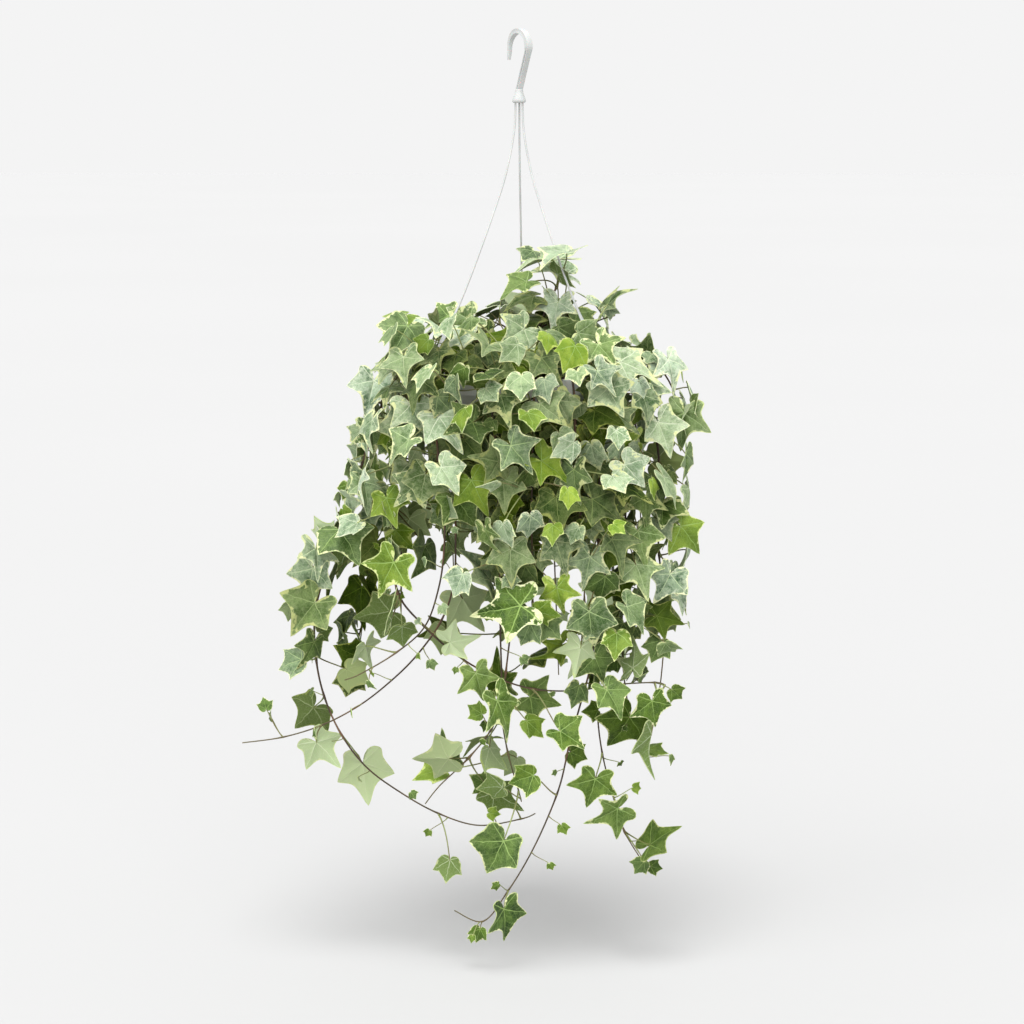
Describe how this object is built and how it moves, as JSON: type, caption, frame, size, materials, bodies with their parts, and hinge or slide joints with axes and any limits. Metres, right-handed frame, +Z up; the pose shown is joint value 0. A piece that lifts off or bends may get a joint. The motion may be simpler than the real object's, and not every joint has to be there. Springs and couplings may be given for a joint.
{
  "type": "potted english ivy",
  "caption": "Variegated English ivy trailing from a white plastic hanging pot, carried by thin strands that meet under an open hook.",
  "frame": {"origin": "seat of the hook, where the inside of its bend rests on what carries the plant", "axes": "+Z up along the pot's axis, -Y towards the side that the picture shows, +X to the right seen from there"},
  "size_m": [0.3978, 0.2873, 0.77],
  "materials": {
    "pot": "white moulded plastic",
    "soil": "dark peat with white perlite",
    "hanger": "translucent white plastic",
    "ivy": "waxy leaves, grey-green with cream margins, on dark stems"
  },
  "bodies": {
    "root": {"hanger_hook": "hanger", "hanger_strand_back": "hanger", "hanger_strand_left": "hanger", "hanger_strand_right": "hanger", "pot": "pot", "soil": "soil", "vine_back_1": "ivy", "vine_back_2": "ivy", "vine_back_3": "ivy", "vine_back_4": "ivy", "vine_back_5": "ivy", "vine_back_6": "ivy", "vine_back_7": "ivy", "vine_crossing": "ivy", "vine_crown_1": "ivy", "vine_crown_2": "ivy", "vine_crown_3": "ivy", "vine_crown_4": "ivy", "vine_crown_5": "ivy", "vine_crown_6": "ivy", "vine_crown_7": "ivy", "vine_crown_8": "ivy", "vine_crown_9": "ivy", "vine_far_left": "ivy", "vine_front_left": "ivy", "vine_front_middle": "ivy", "vine_front_right": "ivy", "vine_front_short": "ivy", "vine_left_arc": "ivy", "vine_left_curve": "ivy", "vine_left_short": "ivy", "vine_longest": "ivy", "vine_right_edge": "ivy", "vine_right_long": "ivy", "vine_right_middle": "ivy", "vine_right_outer": "ivy", "vine_right_rise": "ivy", "vine_top_rise": "ivy"}
  },
  "joints": []
}
